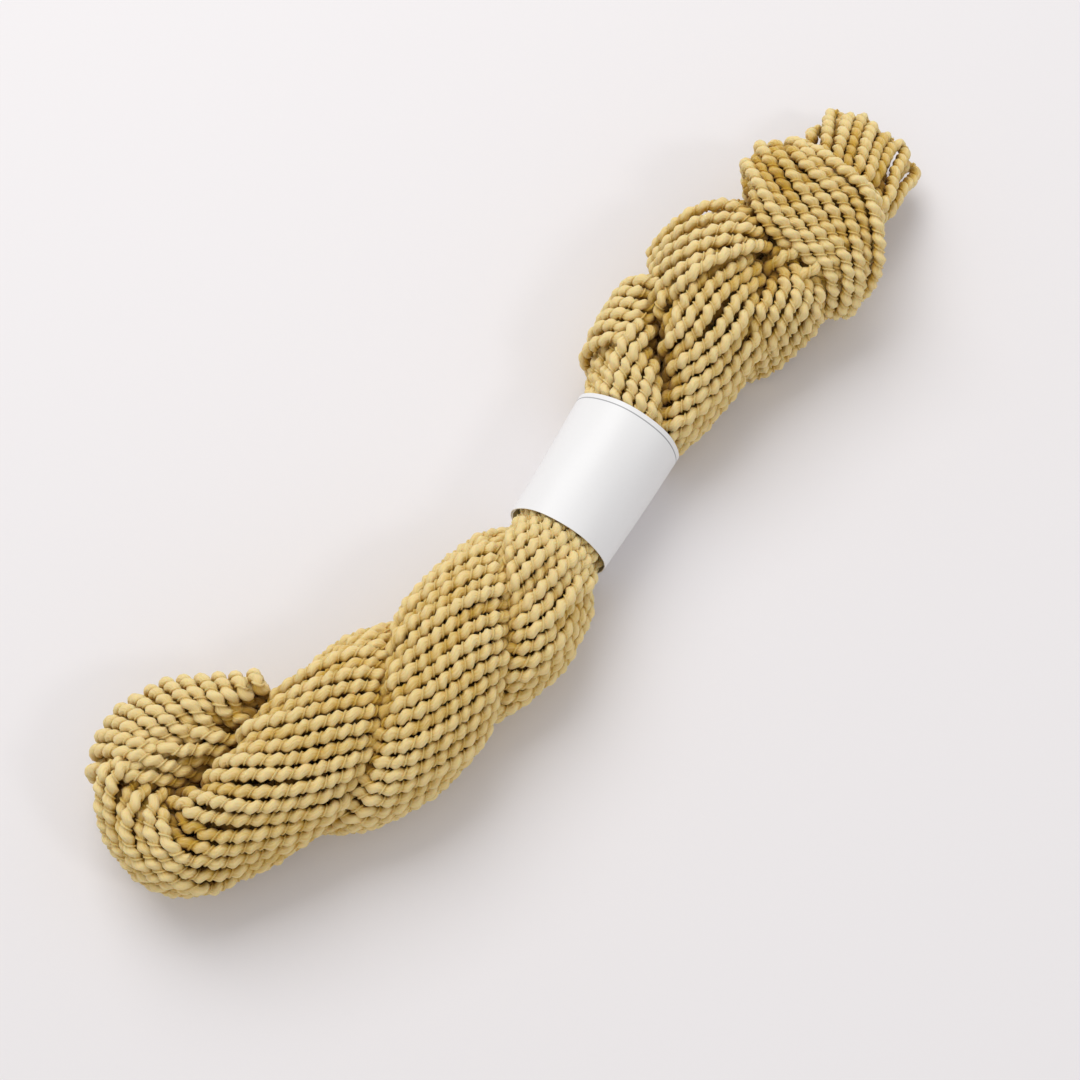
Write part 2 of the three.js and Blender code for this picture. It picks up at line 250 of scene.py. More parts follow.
class HankYarnSettings(bpy.types.PropertyGroup):
    strand: FloatProperty(
        name="Strand", description="Thickness of the two-ply yarn", default=0.0038, unit="LENGTH")
    pitch: FloatProperty(
        name="Pitch", description="Length of one full turn of the plies", default=0.0044,
        unit="LENGTH")
    soft_ply: FloatVectorProperty(
        name="Soft Ply", description="Radius of the thick soft ply, and its offset from the middle",
        size=2, default=(0.00150, 0.00046), precision=5, unit="LENGTH")
    thin_ply: FloatVectorProperty(
        name="Thin Ply", description="Radius of the thin tight ply, and its offset opposite",
        size=2, default=(0.00050, 0.00112), precision=5, unit="LENGTH")
    step: FloatProperty(
        name="Step", description="Length between rings of an outer strand", default=0.00056,
        unit="LENGTH")
    outer: IntProperty(
        name="Outer Strands", description="Strands round a leg that show", default=16, min=8)
    inner: IntProperty(
        name="Inner Strands", description="Strands of the layer below", default=11, min=4)
    leg_twist: FloatProperty(
        name="Leg Twist", description="Twist of a leg's strands for its own turn", default=2.5)
    twist_loss: FloatProperty(
        name="Twist Loss", description="Share of that twist that is missing towards the tail",
        default=0.14, min=0, max=1)
    fold_twist: FloatProperty(
        name="Fold Twist", description="Twist of the strands round the fold",
        default=math.radians(220), subtype="ANGLE")
    colour: FloatVectorProperty(
        name="Colour", description="Colour of the cotton", subtype="COLOR",
        default=(0.88, 0.70, 0.34), min=0, max=1)
    # The darker end of the cotton's colour: darker fibres and patches lean towards it, and it is
    # also the painted shade in the creases between the plies and between the strands.
    dark_fibre_and_shade_colour: FloatVectorProperty(
        name="Deep Colour", description="Colour between the strands", subtype="COLOR",
        default=(0.62, 0.38, 0.04), min=0, max=1)
    # Painted shade for the strands that lie deep inside the hank, between and below the legs.
    hollow_shade_colour: FloatVectorProperty(
        name="Hollow Colour", description="Colour deep between the legs", subtype="COLOR",
        default=(0.24, 0.10, 0.02), min=0, max=1)


class HankBandSettings(bpy.types.PropertyGroup):
    length: FloatProperty(
        name="Length", description="Band's length along the hank", default=0.0375, unit="LENGTH")
    paper: FloatProperty(
        name="Paper", description="Thickness of the paper", default=0.00028, unit="LENGTH")
    lap: FloatProperty(
        name="Lap", description="Length of the paper's overlap", default=0.011, unit="LENGTH")
    colour: FloatVectorProperty(
        name="Colour", description="Colour of the paper", subtype="COLOR",
        default=(0.86, 0.855, 0.85), min=0, max=1)


class HankStageSettings(bpy.types.PropertyGroup):
    azimuth: FloatProperty(
        name="Azimuth", description="Camera's turn round the hank",
        default=AZIMUTH, subtype="ANGLE")
    elevation: FloatProperty(
        name="Elevation", description="Camera's height above the horizon",
        default=ELEVATION, subtype="ANGLE")
    distance: FloatProperty(
        name="Distance", description="Camera's distance", default=DISTANCE, unit="LENGTH")
    view_angle: FloatProperty(
        name="View Angle", description="Camera's angle of view", default=VIEW_ANGLE,
        subtype="ANGLE")
    floor: FloatVectorProperty(
        name="Floor", description="Colour of the floor", subtype="COLOR",
        default=(0.84, 0.815, 0.82), min=0, max=1)


# Shader maths as expressions.

class Socket:
    """One node's output, so that shader maths reads as an expression."""

    def __init__(self, tree, output):
        self.tree = tree
        self.output = output

    def maths(self, operation, first, second):
        return node(self.tree, "ShaderNodeMath", {"operation": operation}, first, second)

    def __add__(self, other):
        return self.maths("ADD", self, other)

    __radd__ = __add__

    def __mul__(self, other):
        return self.maths("MULTIPLY", self, other)

    __rmul__ = __mul__

    def __sub__(self, other):
        return self.maths("SUBTRACT", self, other)

    def __rsub__(self, other):
        return self.maths("SUBTRACT", other, self)


def plug(tree, socket, value):
    """Links a socket, or sets its own value."""
    if isinstance(value, Socket):
        tree.links.new(value.output, socket)
    else:
        socket.default_value = value


def node(tree, kind, settings, *values, out=0, **named):
    """A node of this type with its settings, then its sockets' values or links."""
    made = tree.nodes.new(kind)
    for name, value in settings.items():
        setattr(made, name, value)
    for socket, value in zip(made.inputs, values):
        plug(tree, socket, value)
    for name, value in named.items():
        plug(tree, made.inputs[name.replace("_", " ")], value)
    return Socket(tree, made.outputs[out])


def mixed(tree, share, first, second):
    """Two colours mixed by a share."""
    made = node(tree, "ShaderNodeMix", {"data_type": "RGBA"}, share, out=2)
    for socket, colour in zip(made.output.node.inputs[6:8], (first, second)):
        plug(tree, socket, colour if isinstance(colour, Socket) else (*colour, 1.0))
    return made


def between(tree, value, low, high):
    """0 below low, 1 above high, and smooth between them."""
    return node(tree, "ShaderNodeMapRange", {"interpolation_type": "SMOOTHSTEP"},
                value, low, high, 0.0, 1.0)


def material(name, constants):
    """A new material, its tree and its shader, with the values that are the same all over."""
    made = bpy.data.materials.new(name)
    made.use_nodes = True
    shader = made.node_tree.nodes["Principled BSDF"]
    for socket, value in constants.items():
        shader.inputs[socket].default_value = value
    return made, made.node_tree, shader


def cotton_material(yarn):
    """Soft matt cotton: fine fibres along each ply, a random darkness per strand, and painted
    shade.
    """
    made, tree, shader = material("cotton", {
        "Roughness": 0.86, "Specular IOR Level": 0.25, "Sheen Weight": 0.12,
        "Sheen Roughness": 0.45, "Subsurface Weight": 0.3, "Subsurface Scale": 0.0012,
        "Subsurface Radius": (1.0, 0.6, 0.25),
    })
    along = node(tree, "ShaderNodeUVMap", {"uv_map": "ply"})
    drawn_out = node(tree, "ShaderNodeMapping", {}, Vector=along, Scale=(6.0, 1.0, 1.0))
    fibre = node(tree, "ShaderNodeTexNoise", {}, Vector=drawn_out, Scale=3.0, Detail=4.0,
                 Roughness=0.65)
    wisps = node(tree, "ShaderNodeTexNoise", {}, Vector=along, Scale=2.2, Detail=2.0)
    places = node(tree, "ShaderNodeTexCoord", {}, out=3)
    patches = node(tree, "ShaderNodeTexNoise", {}, Vector=places, Scale=38.0, Detail=1.0)
    # The attributes: each strand's random darkness, plus painted shade on the layers below; painted
    # shade in the crease between the plies; painted shade where strands are enclosed or face
    # inwards.
    tone, groove, depth = [
        node(tree, "ShaderNodeAttribute", {"attribute_name": name}, out=2)
        for name in ("tone", "groove", "depth")]
    streaks = 1 - between(tree, fibre, 0.34, 0.62)
    # The streaks, wisps and patches are the cotton's own uneven colour; the crease and enclosure
    # terms add painted shade.
    shade = (streaks * 0.26 + wisps * 0.16 + patches * 0.24 + tone * 0.12 + groove * 0.40
             + depth * 0.75 - 0.30)
    colour = mixed(tree, between(tree, shade, 0.0, 1.0), yarn.colour, yarn.dark_fibre_and_shade_colour)
    # Painted shade: strands deep inside the hank turn to the hollow colour.
    colour = mixed(tree, between(tree, depth, 0.7, 1.2), colour, yarn.hollow_shade_colour)
    plug(tree, shader.inputs["Base Color"], colour)
    relief = node(tree, "ShaderNodeBump", {}, Strength=0.9, Distance=0.0005, Height=fibre)
    plug(tree, shader.inputs["Normal"], relief)
    return made


def paper_material(band):
    """Smooth coated paper with a thin dark grey line near one edge."""
    made, tree, shader = material("band_paper", {"Roughness": 0.42, "Specular IOR Level": 0.4})
    places = node(tree, "ShaderNodeUVMap", {"uv_map": "sheet"})
    across = node(tree, "ShaderNodeSeparateXYZ", {}, places, out=1)
    grey_line = between(tree, across, 0.9555, 0.9575) * (1 - between(tree, across, 0.9645, 0.9665))
    places = node(tree, "ShaderNodeTexCoord", {}, out=3)
    pulp = node(tree, "ShaderNodeTexNoise", {}, Vector=places, Scale=900.0, Detail=3.0)
    white = mixed(tree, pulp * 0.25, band.colour, [0.93 * c for c in band.colour])
    plug(tree, shader.inputs["Base Color"], mixed(tree, grey_line * 0.75, white, (0.22, 0.22, 0.23)))
    relief = node(tree, "ShaderNodeBump", {}, Strength=0.12, Distance=0.0001, Height=pulp)
    plug(tree, shader.inputs["Normal"], relief)
    return made


def floor_material(stage):
    """A plain pale table top with the faintest unevenness."""
    made, tree, shader = material("floor", {"Roughness": 0.55, "Specular IOR Level": 0.3})
    places = node(tree, "ShaderNodeTexCoord", {}, out=3)
    cloud = node(tree, "ShaderNodeTexNoise", {}, Vector=places, Scale=7.0, Detail=2.0)
    colour = mixed(tree, cloud * 0.3, stage.floor, [0.97 * c for c in stage.floor])
    plug(tree, shader.inputs["Base Color"], colour)
    return made


# Paths of the legs and their strands.

def unit(vectors):
    return vectors / np.linalg.norm(vectors, axis=-1, keepdims=True)


def smoothstep(value, low, high):
    share = np.clip((value - low) / (high - low), 0, 1)
    return share * share * (3 - 2 * share)


def lengths_along(path):
    steps = np.diff(path[:, :3], axis=0)
    return np.concatenate([[0], np.cumsum(np.linalg.norm(steps, axis=1))])


def cubic(places, values, slope, wanted):
    """Values at the wanted places on a cubic with this slope at each given one."""
    i = np.clip(np.searchsorted(places, wanted, side="right") - 1, 0, len(places) - 2)
    h = np.diff(places)[:, None][i]
    t = (np.asarray(wanted) - places[i])[:, None] / h
    return (values[i] * (2 * t**3 - 3 * t**2 + 1) + values[i + 1] * (3 * t**2 - 2 * t**3)
            + h * (slope[i] * (t**3 - 2 * t**2 + t) + slope[i + 1] * (t**3 - t**2)))


def hermite(places, values, wanted):
    """Values at the wanted places on a smooth cubic through all the given ones."""
    steps = np.diff(places)[:, None]
    rise = np.diff(values, axis=0) / steps
    slope = np.empty_like(values)
    slope[0], slope[-1] = rise[0], rise[-1]
    slope[1:-1] = (rise[:-1] * steps[1:] + rise[1:] * steps[:-1]) / (steps[1:] + steps[:-1])
    return cubic(places, values, slope, wanted)


def evened(rows, count):
    """A number of rows spaced evenly along the first places of the given ones, never past them."""
    places = lengths_along(rows)
    steps = np.diff(places)[:, None]
    rise = np.diff(rows, axis=0) / steps
    before, after = steps[:-1], steps[1:]
    same_way = rise[:-1] * rise[1:] > 0
    blend = (2 * after + before) * rise[1:] + (after + 2 * before) * rise[:-1]
    slope = np.zeros_like(rows)
    slope[1:-1] = 3 * (before + after) * rise[:-1] * rise[1:] * same_way / np.where(
        same_way, blend, 1)
    for end, nearest, next_one in ((0, 0, 1), (-1, -1, -2)):
        share = steps[nearest] / (steps[nearest] + steps[next_one])
        slope[end] = rise[nearest] + share * (rise[nearest] - rise[next_one])
    return np.round(cubic(places, rows, slope, np.linspace(0, places[-1], count)), 1)


def seen(pixel, height):
    """The place in mm that the photograph shows at a pixel, if it lies at this height."""
    right, up = (np.asarray(pixel) - PHOTO_MIDDLE) * (1, -1) * (
        math.tan(VIEW_ANGLE / 2) / PHOTO_MIDDLE)
    sine, cosine = math.sin(ELEVATION), math.cos(ELEVATION)
    distance = DISTANCE / MM - height * sine
    back = (up * distance - height * cosine) / (sine - up * cosine)
    aside = right * (distance + back * cosine)
    return np.round([aside * math.cos(AZIMUTH) - back * math.sin(AZIMUTH),
                     aside * math.sin(AZIMUTH) + back * math.cos(AZIMUTH), height], 1)


def wrap_rows(strands, heights):
    """The rim, crown and dive of each strand, from its pixels and the heights of the three."""
    rows = []
    for pixels, (rim, crown, dive) in zip(strands, heights):
        path = np.array(pixels, dtype=float)
        length = lengths_along(path)
        half_way = [np.interp(length[-1] / 2, length, column) for column in path.T]
        rows.append(np.concatenate([
            seen(path[0], rim), seen(half_way, crown), seen(path[-1], dive)]))
    return np.array(rows)


STATIONS = lengths_along(SECTIONS[:, :2])


def rows_at(distance):
    return hermite(STATIONS, SECTIONS, distance)


def blurred(values, reach):
    """Values evened out over their neighbours along a path."""
    weights = np.hanning(2 * reach + 3)[1:-1]
    weights /= weights.sum()
    padded = np.concatenate([values[:1].repeat(reach, 0), values, values[-1:].repeat(reach, 0)])
    return np.stack([np.convolve(column, weights, "valid") for column in padded.T], -1)


def resampled(path, step, closed=False):
    """The path with points at an even step."""
    if closed:
        path = np.concatenate([path, path[:1]])
    length = lengths_along(path)
    count = max(int(round(length[-1] / step)), 4)
    return hermite(length, path, np.linspace(0, length[-1], count + 1))


def centre_line(distance):
    """Rows of the table along the hank's centre line, with its direction and right-hand side."""
    reach = 0.5
    ahead = rows_at(distance + reach) - rows_at(distance - reach)
    along = unit(ahead[:, :3] * (1, 1, 0))
    right = np.stack([along[:, 1], -along[:, 0], 0 * along[:, 0]], -1)
    return rows_at(distance), along, right


def leg(distance, opposite):
    """A leg's middle, its direction away from its partner, and its half sizes."""
    rows, _, right = centre_line(distance)
    angle = np.radians(rows[:, TURN] + opposite)
    across, upward = np.cos(angle)[:, None], np.sin(angle)[:, None]
    middle = rows[:, :3] + across * rows[:, [SIDE]] * right + upward * rows[:, [LIFT]] * UP
    return middle, across * right + upward * UP, rows[:, OUT], rows[:, WIDE], rows[:, TURN]


class Bundle:
    """The twisted skein as one path: leg P from the neck to the fold, round it, and leg Q."""

    # How far before the hank's end leg P starts and leg Q ends, the length between the path's
    # points, how far the fold reaches out, and the length over which leg Q fades into the collar.
    NECK, EYE, STEP, REACH, FADE = 16.0, 36.0, 1.5, 10.0, 24
    # Leg Q's shift across and down there, and the shares of its half sizes that it loses.
    FADE_SHIFT, FADE_LOSS = (1.5, 4.0), (0.35, 0.4)
    # How far the strands under the wraps sink, and how much the bundle's half sizes shrink there.
    ROOM_DROP, ROOM_LOSS = 2.0, (1.3, 1.5)

    def __init__(self, yarn):
        end = STATIONS[-1]
        p_side = np.arange(end - self.NECK, 0, -self.STEP)
        q_side = np.arange(0, end - self.EYE, self.STEP)
        p_leg, q_leg = leg(p_side, 0), leg(q_side, 180)
        fade = smoothstep(q_side, end - self.EYE - self.FADE, end - self.EYE)
        q_leg[0][:, 1] -= self.FADE_SHIFT[0] * fade
        q_leg[0][:, 2] -= self.FADE_SHIFT[1] * fade
        rows, along, right = [part[0] for part in centre_line(np.array([0.0]))]
        count = int(math.pi * rows[SIDE] / self.STEP)
        angle = np.linspace(0, math.pi, count + 2)[1:-1, None]
        rise = math.sin(math.radians(rows[TURN])) * rows[LIFT]
        fold = (
            rows[:3] + np.cos(angle) * rows[SIDE] * right - np.sin(angle) * self.REACH * along
            + np.cos(angle) * rise * UP,
            unit(np.cos(angle) * right - np.sin(angle) * along),
            rows[OUT] * (1 - 0.24 * np.sin(angle[:, 0])),
            np.full(count, rows[WIDE]),
            np.full(count, rows[TURN]),
        )
        shrink = (1, 1, 1 - self.FADE_LOSS[0] * fade, 1 - self.FADE_LOSS[1] * fade, 1)
        q_leg = [part * scale for part, scale in zip(q_leg, shrink)]
        middle, away, out, wide, turn = [
            np.concatenate(parts) for parts in zip(p_leg, fold, q_leg)]
        # Under the wraps, the strands make room for them.
        room = np.concatenate([
            0.7 * smoothstep(p_side, STATIONS[11] + 2, STATIONS[12])
            * (1 - smoothstep(p_side, STATIONS[13] - 2, STATIONS[13] + 8))
            + 0.9 * smoothstep(p_side, STATIONS[13] + 6, STATIONS[14] + 4),
            smoothstep(np.degrees(angle[:, 0]), 95, 140),
            1 - smoothstep(q_side, 16, 32),
        ])
        room = np.maximum(
            room, 1 - smoothstep(np.linalg.norm(middle - CROWN_MIDDLE, axis=1), 10, 19))
        middle[:, 2] -= self.ROOM_DROP * room
        self.middle = blurred(middle, 3)
        self.out = blurred((out - self.ROOM_LOSS[0] * room)[:, None], 3)
        self.wide = blurred((wide - self.ROOM_LOSS[1] * room)[:, None], 3)
        self.tangent = unit(np.gradient(self.middle, axis=0))
        away = unit(blurred(away, 3))
        self.away = unit(away - (away * self.tangent).sum(1, keepdims=True) * self.tangent)
        self.across = np.cross(self.tangent, self.away)
        at_fold = np.zeros(len(turn))
        at_fold[len(p_side):len(p_side) + count] = 1
        change = yarn.leg_twist * np.radians(np.abs(np.diff(turn, prepend=turn[0])))
        change *= 1 - yarn.twist_loss * smoothstep(self.middle[:, 0], -50, 40)
        change[at_fold > 0] = yarn.fold_twist / count
        self.twist = np.cumsum(change)

    def pressed(self, path):
        """How far each point of a strand lies inside the other leg, from 0 to 1."""
        own = np.linspace(0, len(self.middle) - 1, len(path))
        apart = path[:, None] - self.middle
        beside = (np.abs((apart * self.tangent).sum(2)) < 2 * self.STEP) & (
            np.abs(own[:, None] - np.arange(len(self.middle))) > 60 / self.STEP)
        radius = np.hypot((apart * self.away).sum(2) / self.out[:, 0],
                          (apart * self.across).sum(2) / self.wide[:, 0])
        return 1 - smoothstep(np.where(beside, radius, 9).min(1), 0.8, 1.1)

    def strands(self, count, share, thickness, chance):
        """Strands side by side round the bundle, at a share of its half sizes."""
        length = lengths_along(self.middle)
        for j in range(count):
            angle = 2 * math.pi * j / count + self.twist
            angle = angle + 0.09 * waver(length, 60, chance)
            flat = (self.wide - self.out) / (2 * (self.wide + self.out))
            angle = angle[:, None] - flat * np.sin(2 * angle[:, None])
            depth = 0.35 * waver(length, 45, chance)[:, None] - thickness / 2
            yield (self.middle + (self.out + depth) * share * np.cos(angle) * self.away
                   + (self.wide + depth) * share * np.sin(angle) * self.across)


def waver(length, wave, chance):
    """A slow uneven swing of about one, along a strand."""
    return sum(
        np.sin(2 * math.pi * (length / (wave * scale) + chance.uniform()))
        for scale in (1.0, 0.57, 0.31)) / 1.7


# Strands pressed apart where they would cut through each other.

def close_pairs(points, reach):
    """Index pairs of points nearer to each other than reach."""
    cell = np.floor((points - points.min(0)) / reach).astype(np.int64) + 1
    sizes = cell.max(0) + 2
    key = (cell[:, 0] * sizes[1] + cell[:, 1]) * sizes[2] + cell[:, 2]
    order = np.argsort(key, kind="stable")
    ordered = key[order]
    found = []
    for dx in (-1, 0, 1):
        for dy in (-1, 0, 1):
            for dz in (-1, 0, 1):
                shift = (dx * sizes[1] + dy) * sizes[2] + dz
                if shift < 0:
                    continue
                low = np.searchsorted(ordered, key + shift, "left")
                high = np.searchsorted(ordered, key + shift, "right")
                count = high - low
                first = np.repeat(np.arange(len(points)), count)
                step = np.arange(count.sum()) - np.repeat(np.cumsum(count) - count, count)
                second = order[np.repeat(low, count) + step]
                keep = first < second if shift == 0 else first != second
                found.append(np.stack([first[keep], second[keep]], 1))
    pairs = np.concatenate(found)
    gap = np.linalg.norm(points[pairs[:, 0]] - points[pairs[:, 1]], axis=1)
    return pairs[gap < reach]


def settle(strands, softness, girth, inside):
    """Presses strands apart until they lie side by side, on the table and inside the band."""
    sizes = [len(path) for path in strands]
    start = np.concatenate(strands)
    owner = np.repeat(np.arange(len(strands)), sizes)
    order = np.concatenate([np.arange(size) for size in sizes])
    give, half = np.repeat(softness, sizes), np.concatenate(girth) / 2
    reach = 2 * half.max()
    ends = np.cumsum(sizes)
    moved = np.zeros_like(start)
    for _ in range(ROUNDS):
        points = start + moved
        pairs = close_pairs(points, reach)
        same = owner[pairs[:, 0]] == owner[pairs[:, 1]]
        near = np.abs(order[pairs[:, 0]] - order[pairs[:, 1]]) < 4
        pairs = pairs[~(same & near)]
        apart = points[pairs[:, 0]] - points[pairs[:, 1]]
        gap = np.linalg.norm(apart, axis=1, keepdims=True) + 1e-6
        room = (half[pairs[:, 0]] + half[pairs[:, 1]])[:, None]
        push = apart / gap * np.maximum(room - gap, 0) * PUSH
        a, b = give[pairs[:, :1]], give[pairs[:, 1:]]
        change = np.zeros_like(start)
        load = np.full((len(start), 1), 1.0)
        np.add.at(change, pairs[:, 0], push * a / (a + b) * 2)
        np.add.at(change, pairs[:, 1], -push * b / (a + b) * 2)
        touching = (gap < room) * CROWDING
        np.add.at(load, pairs[:, 0], touching)
        np.add.at(load, pairs[:, 1], touching)
        moved += change / load
        for low, high in zip(ends - sizes, ends):
            moved[low:high] = blurred(moved[low:high], 2)
        points = inside(start + moved)
        points[:, 2] = np.maximum(points[:, 2], reach / 2 + FLOOR_GAP)
        moved = points - start
    return np.split(start + moved, ends[:-1])


def with_shade_depth(strands):
    """The strands' points, how enclosed each is (its painted shade) and which way its neighbours
    lie.
    """
    points = np.concatenate(strands)
    pairs = close_pairs(points, NEIGHBOUR_REACH)
    toward = unit(points[pairs[:, 1]] - points[pairs[:, 0]] + 1e-9)
    pull, count = np.zeros_like(points), np.zeros(len(points))
    for end, sign in ((0, 1), (1, -1)):
        np.add.at(pull, pairs[:, end], sign * toward)
        np.add.at(count, pairs[:, end], 1)
    openness = np.linalg.norm(pull, axis=1) / np.maximum(count, 1)
    depth = 1 - smoothstep(openness, ENCLOSED, OPEN)
    return np.split(np.column_stack([points, depth, pull / np.maximum(count, 1)[:, None]]),
                    np.cumsum([len(path) for path in strands])[:-1])


# Meshes of two-ply strands.

def ply_ring(soft, thin, soft_sides, thin_sides):
    """Points of a thick ply with a thin one beside it, with painted shade darkening to their
    crease.
    """
    (radius, offset), (thin_radius, thin_offset) = soft, thin
    gap = offset + thin_offset
    crease = (gap**2 + radius**2 - thin_radius**2) / (2 * gap)
    reach = math.pi - math.acos(crease / radius)
    angle = np.linspace(-reach, reach, soft_sides + 1)[:-1]
    # Painted shade, darkest at the crease between the plies.
    depth = np.abs(angle / reach) ** 3
    thick = np.stack([offset + radius * np.cos(angle), radius * np.sin(angle)], -1)
    start = math.acos((gap - crease) / thin_radius)
    angle = np.linspace(start, 2 * math.pi - start, thin_sides + 1)[:-1]
    slim = np.stack([thin_radius * np.cos(angle) - thin_offset, thin_radius * np.sin(angle)], -1)
    # The thin ply is painted half in shade, darker towards the crease.
    depth = np.concatenate([depth, 0.55 + 0.45 * np.abs(angle / math.pi - 1) ** 2])
    return np.concatenate([thick, slim]), depth


def strand_frames(path, closed):
    """Two directions square to the path at each point, that turn as little as they can."""
    tangent = unit(np.roll(path, -1, 0) - np.roll(path, 1, 0))
    if not closed:
        tangent = unit(np.gradient(path, axis=0))
    first = Vector((0.123, 0.2, 1.0))
    across = []
    for direction in tangent.tolist():
        along = Vector(direction)
        first = (first - along * first.dot(along)).normalized()
        across.append(first[:])
    across = np.array(across)
    return across, np.cross(tangent, across)


def strand_mesh(paths, yarn, step, sides_each, chance, closed=False, tone=0.0):
    """Vertices, faces, ply coordinates, random darkness and painted shade of many two-ply strands.
    """
    ring, depth = ply_ring(
        [size / MM for size in yarn.soft_ply], [size / MM for size in yarn.thin_ply], *sides_each)
    sides = len(ring)
    pitch = yarn.pitch / MM
    places, faces, coordinates, tones_and_shades, groove_shades, shade_depths = [], [], [], [], [], []
    base = 0
    for path in paths:
        path = resampled(path, step / MM, closed)
        length = lengths_along(path)
        path, enclosed, inward = path[:, :3], path[:, 3], unit(path[:, 4:7] + 1e-6)
        if closed:
            path = path[:-1]
        count = len(path)
        first, second = strand_frames(path, closed)
        turns = length[-1] / pitch
        slip = 0.0
        if closed:
            turns = round(turns)
            slip = math.atan2(np.dot(first[-1], second[0]), np.dot(first[-1], first[0]))
        share = length[:count] / length[-1]
        swing = -2 * math.pi * turns * share - slip * share + chance.uniform(0, 2 * math.pi)
        if not closed:
            swing = swing + 0.5 * waver(length, 30, chance)
        fullness = 1 + 0.05 * waver(length[:count], 9, chance) * (not closed)
        if not closed:
            ends = np.minimum(np.arange(count), np.arange(count)[::-1])
            fullness = fullness * np.interp(ends, [0, 1, 2], [0.35, 0.8, 1.0])
        cosine, sine = fullness * np.cos(swing), fullness * np.sin(swing)
        x = np.outer(cosine, ring[:, 0]) - np.outer(sine, ring[:, 1])
        y = np.outer(sine, ring[:, 0]) + np.outer(cosine, ring[:, 1])
        skin = path[:, None] + x[:, :, None] * first[:, None] + y[:, :, None] * second[:, None]
        places.append(skin.reshape(-1, 3))
        # Painted shade: darker where the strand is enclosed, and on its side that faces its
        # neighbours.
        facing = (unit(skin - path[:, None]) * inward[:count, None]).sum(2)
        painted_shade = enclosed[:count, None] + 0.9 * smoothstep(facing, -0.55, 0.6)
        rows = count if closed else count - 1
        i, k = np.meshgrid(np.arange(rows), np.arange(sides), indexing="ij")
        i, k = i.ravel(), k.ravel()
        after, beside = (i + 1) % count, (k + 1) % sides
        faces.append(base + np.stack([
            i * sides + k, i * sides + beside, after * sides + beside, after * sides + k], 1))
        row = np.stack([i, i, i + 1, i + 1], 1)
        v = row * (length[-1] / rows) / 10
        unwound = np.append(swing, 2 * swing[-1] - swing[-2])[row] / (2 * math.pi)
        u = (np.stack([k, k + 1, k + 1, k], 1) / sides + unwound + v * 10 / FIBRE_PITCH) * 1.1
        coordinates.append(np.stack([u, v], -1).reshape(-1, 2))
        if not closed:
            k = np.arange(sides // 2 - 1)
            lid = np.stack([k, sides - 1 - k, sides - 2 - k, k + 1], 1)
            faces += [base + lid, base + (count - 1) * sides + lid[:, ::-1]]
            coordinates.append(np.zeros((8 * len(k), 2)))
        # A random tone per strand, plus the painted shade of the strands below the outer layer.
        tones_and_shades.append(np.full(count * sides, tone + chance.uniform(0, 0.5)))
        # Painted shade in the crease between the plies, on every ring.
        groove_shades.append(np.tile(depth, count))
        shade_depths.append(np.clip(painted_shade, 0, 1).ravel())
        base += count * sides
    parts = [np.concatenate(part) for part in (places, faces, coordinates)]
    shades = {"tone": np.concatenate(tones_and_shades), "groove": np.concatenate(groove_shades),
              "depth": np.concatenate(shade_depths)}
    return *parts, shades, sides


def new_piece(name, places, faces, slot, made, *nodes):
    """A mesh object in metres at the origin, riding on the hank."""
    mesh = bpy.data.meshes.new(name)
    mesh.from_pydata((places - ORIGIN) * MM, [], faces)
    mesh.materials.append(made)
    piece = bpy.data.objects.new(name, mesh)
    bpy.context.scene.collection.objects.link(piece)
    finish(piece, slot, *nodes)
    return piece


def finish(piece, slot, *nodes):
    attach(piece, "root")
    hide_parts(*nodes)


def yarn_piece(name, paths, yarn, step, sides_each, chance, closed=False, tone=0.0):
    """One object of two-ply strands, smooth but for the crease between the plies."""
    places, faces, coordinates, shades, sides = strand_mesh(
        paths, yarn, step, sides_each, chance, closed, tone)
    made = bpy.data.materials.get("cotton") or cotton_material(yarn)
    piece = new_piece(name, places, faces, "yarn", made, "hank")
    mesh = piece.data
    mesh.shade_smooth()
    ends = np.empty(len(mesh.edges) * 2, dtype=np.int32)
    mesh.edges.foreach_get("vertices", ends)
    ends = ends.reshape(-1, 2)
    corner = ends % sides
    crease = (corner[:, 0] == corner[:, 1]) & np.isin(corner[:, 0], (0, sides_each[0]))
    sharp = mesh.attributes.new("sharp_edge", "BOOLEAN", "EDGE")
    sharp.data.foreach_set("value", crease)
    mesh.uv_layers.new(name="ply").uv.foreach_set("vector", coordinates.ravel())
    for shade, values in shades.items():
        mesh.attributes.new(shade, "FLOAT", "POINT").data.foreach_set("value", values)
    return piece


def wraps(table, under, sunk=0.0):
    """Strands that come up from below, over a leg's rim and crown, and dive out of sight."""
    start_height, foot_height, side_height, bulge = 2.2, 3.2, 8, 3.0
    half_strand = 1.9
    for row in table:
        rim, crown, dive = row.reshape(3, 3) - UP * sunk
        inward = unit((crown - rim) * (1, 1, 0))
        onward = unit((dive - crown) * (1, 1, 0))
        rim = rim + inward * (half_strand + sunk * 0.3)
        ground = rim * (1, 1, 0)
        points = np.array([
            ground + inward * under + UP * start_height,
            ground + inward * under * 0.4 + UP * foot_height,
            ground + inward * 1.5 + UP * side_height,
            rim,
            rim + (crown - rim) * 0.45 + UP * bulge,
            crown,
            dive,
            dive + onward * 4 - UP * 4,
            dive + onward * 7 - UP * 9,
        ])
        yield resampled(points, PATH_STEP)


def tucked(table, before, after):
    """Strands through the places of a table, each with its two ends led out of sight."""
    for row in table:
        places = [seen((x, y), height) for x, y, height in np.reshape(row, (-1, 3))]
        points = [places[0] + before, *places, places[-1] + after]
        yield resampled(np.array(points), PATH_STEP)


